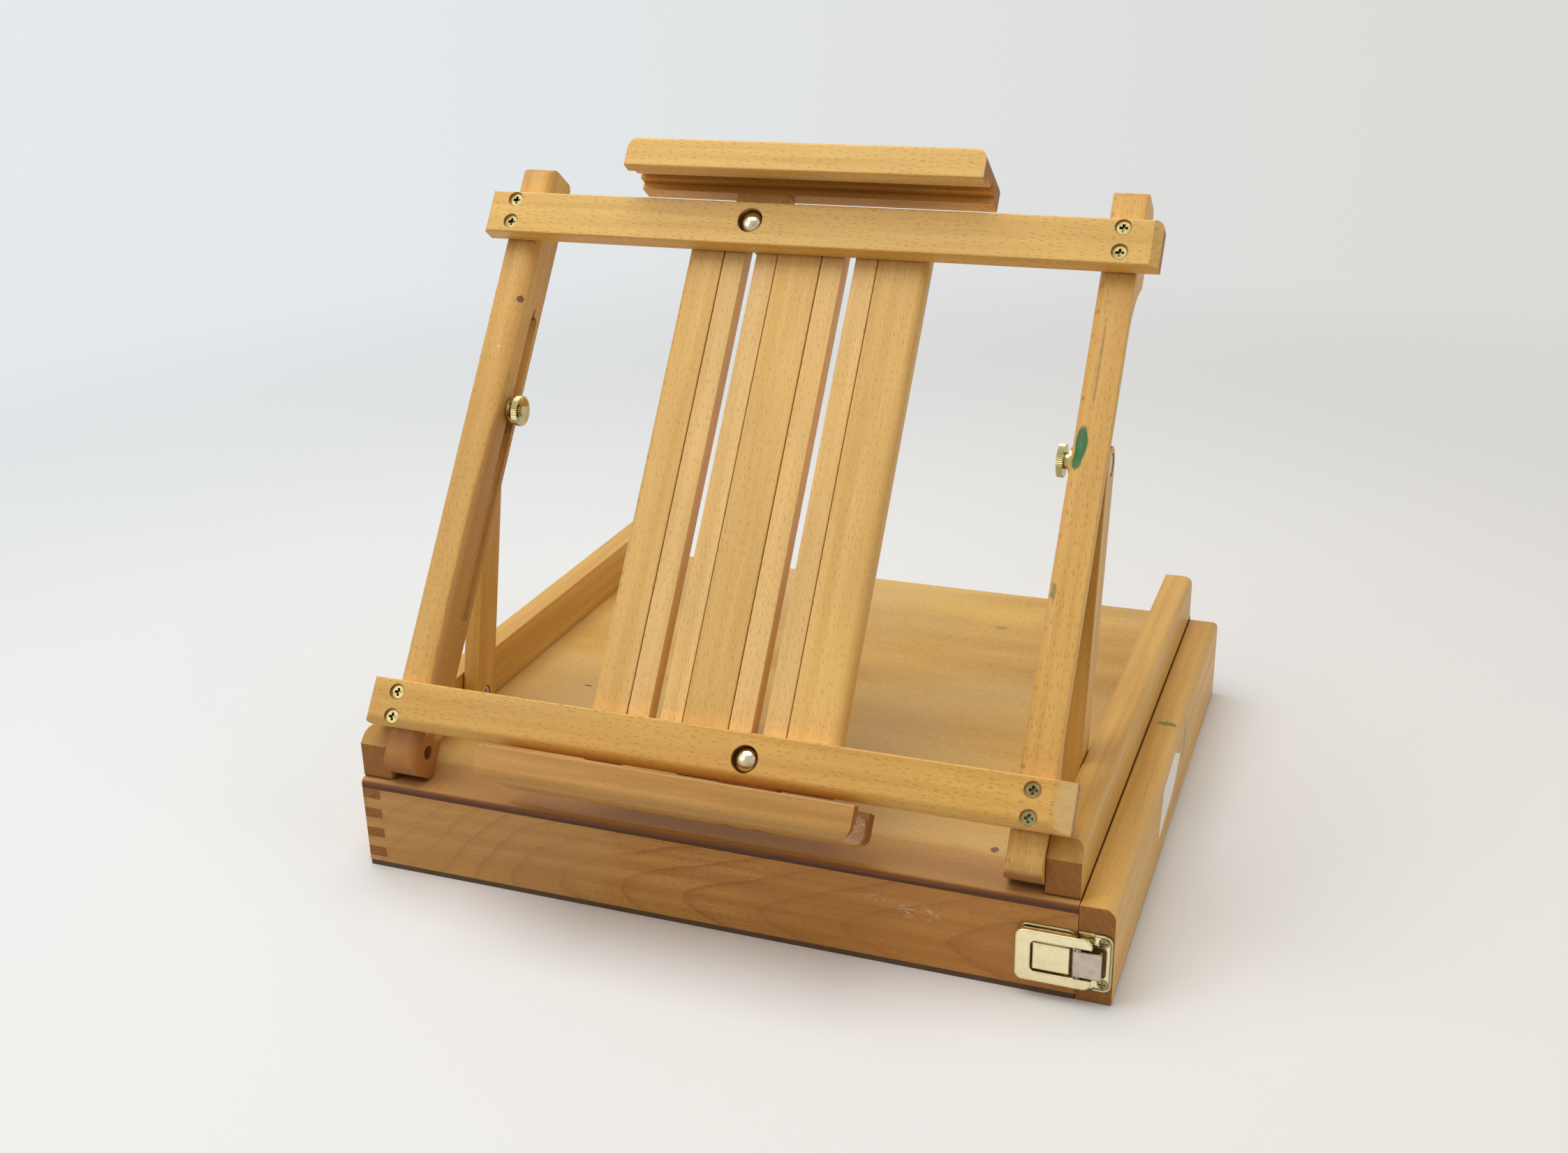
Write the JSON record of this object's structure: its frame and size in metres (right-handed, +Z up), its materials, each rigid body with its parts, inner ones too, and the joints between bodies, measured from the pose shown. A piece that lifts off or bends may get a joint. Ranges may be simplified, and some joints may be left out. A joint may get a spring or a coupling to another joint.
{
  "type": "box easel",
  "caption": "Wooden table box easel with a side drawer, a case latch and a tilting frame whose slats carry a canvas clamp and tray; the frame folds flat between rails on the lid.",
  "frame": {"origin": "centre of the underside of the box, between its front and back faces and its left and right faces", "axes": "+Z up, +X to the right as the artist faces the easel (the drawer pulls out along +X), -Y towards the artist"},
  "size_m": [0.405, 0.3814, 0.3673],
  "materials": {
    "beech": "satin oil",
    "plywood": "satin varnish",
    "thin_board": "matt",
    "brass": "plated, bright",
    "steel": "zinc plated"
  },
  "bodies": {
    "box": {"front_board": "beech", "back_board": "beech", "side_board": "beech", "base_panel": "thin_board", "top_panel": "plywood", "rail_left": "beech", "rail_right": "beech", "rail_screws": "steel", "latch_base": "brass", "latch_pin": "steel", "latch_base_screws": "brass"},
    "drawer": {"drawer_front": "beech", "drawer_bottom": "thin_board", "drawer_side_front": "beech", "drawer_side_back": "beech", "drawer_end": "beech", "drawer_long_divider": "beech", "drawer_bay_dividers": "beech", "latch_strike": "brass", "latch_strike_screws": "brass"},
    "latch_lever": {"latch_lever": "brass", "latch_hook_pin": "steel"},
    "latch_hook": {"latch_hook": "steel"},
    "fold_pivots": {"fold_pivots": "steel"},
    "strut_pivots": {"strut_pivots": "steel"},
    "easel": {"stile_left": "beech", "stile_right": "beech", "crossbar_upper": "beech", "crossbar_lower": "beech", "crossbar_screws": "brass", "mast_board_left": "beech", "mast_board_centre": "beech", "mast_board_right": "beech", "mast_screws": "steel", "mast_bolt_upper": "brass", "mast_bolt_lower": "brass", "mast_washer_upper": "brass", "mast_washer_lower": "brass"},
    "upper_clamp": {"slat_left": "beech", "canvas_clamp": "beech", "clamp_screws": "steel"},
    "lower_tray": {"slat_right": "beech", "canvas_tray": "beech", "tray_screws": "steel"},
    "left_strut": {"strut_left": "beech", "slot_bolt_left": "steel", "side_washer_left": "brass"},
    "right_strut": {"strut_right": "beech", "slot_bolt_right": "steel", "side_washer_right": "brass"},
    "side_nut_left": {"side_nut_left": "brass"},
    "side_nut_right": {"side_nut_right": "brass"},
    "mast_nut_upper": {"mast_nut_upper": "brass"},
    "mast_nut_lower": {"mast_nut_lower": "brass"}
  },
  "joints": [
    {"name": "drawer_slide", "type": "slide", "parent": "box", "child": "drawer", "axis": [1, 0, 0], "range_m": [0, 0.3]},
    {"name": "latch_lever_swing", "type": "hinge", "parent": "box", "child": "latch_lever", "pos_m": [0.1915, -0.1808, 0.02315], "axis": [0, 0, 1], "range_deg": [0, 90]},
    {"name": "latch_hook_swing", "type": "hinge", "parent": "latch_lever", "child": "latch_hook", "pos_m": [0.1865, -0.1813, 0.02315], "axis": [0, 0, 1], "range_deg": [-90, 0]},
    {"name": "easel_raise", "type": "hinge", "parent": "box", "child": "fold_pivots", "pos_m": [0, -0.1665, 0.0682], "axis": [-1, 0, 0], "range_deg": [-36.09, 0]},
    {"name": "easel_fold", "type": "hinge", "parent": "fold_pivots", "child": "easel", "pos_m": [0, -0.1665, 0.0682], "axis": [-1, 0, 0], "range_deg": [0, 53.91]},
    {"name": "strut_raise", "type": "hinge", "parent": "box", "child": "strut_pivots", "pos_m": [0, -0.088, 0.0659], "axis": [-1, 0, 0], "range_deg": [-41.5, 0]},
    {"name": "left_strut_fold", "type": "hinge", "parent": "strut_pivots", "child": "left_strut", "pos_m": [0, -0.088, 0.0659], "axis": [-1, 0, 0], "range_deg": [0, 76.5]},
    {"name": "right_strut_fold", "type": "hinge", "parent": "strut_pivots", "child": "right_strut", "pos_m": [0, -0.088, 0.0659], "axis": [-1, 0, 0], "range_deg": [0, 76.5]},
    {"name": "clamp_slide", "type": "slide", "parent": "easel", "child": "upper_clamp", "axis": [0, 0.5891, 0.8081], "range_m": [-0.0098, 0.268]},
    {"name": "tray_slide", "type": "slide", "parent": "easel", "child": "lower_tray", "axis": [0, 0.5891, 0.8081], "range_m": [-0.0039, 0.0034]},
    {"name": "side_nut_left_spin", "type": "hinge", "parent": "left_strut", "child": "side_nut_left", "pos_m": [-0.1645, -0.04989, 0.22426], "axis": [1, 0, 0], "continuous": true},
    {"name": "side_nut_right_spin", "type": "hinge", "parent": "right_strut", "child": "side_nut_right", "pos_m": [0.147, -0.04989, 0.22426], "axis": [1, 0, 0], "continuous": true},
    {"name": "mast_nut_upper_spin", "type": "hinge", "parent": "easel", "child": "mast_nut_upper", "pos_m": [-0.03795, 0.01511, 0.31226], "axis": [0, -0.8081, 0.5891], "continuous": true},
    {"name": "mast_nut_lower_spin", "type": "hinge", "parent": "easel", "child": "mast_nut_lower", "pos_m": [0.0178, -0.15206, 0.08292], "axis": [0, -0.8081, 0.5891], "continuous": true}
  ],
  "couplings": [
    {"joint": "latch_hook_swing", "follows": "latch_lever_swing", "ratio": -1},
    {"joint": "strut_raise", "follows": "easel_raise", "ratio": 1.1477},
    {"joint": "left_strut_fold", "follows": "easel_fold", "ratio": 1.4185},
    {"joint": "right_strut_fold", "follows": "easel_fold", "ratio": 1.4185}
  ]
}
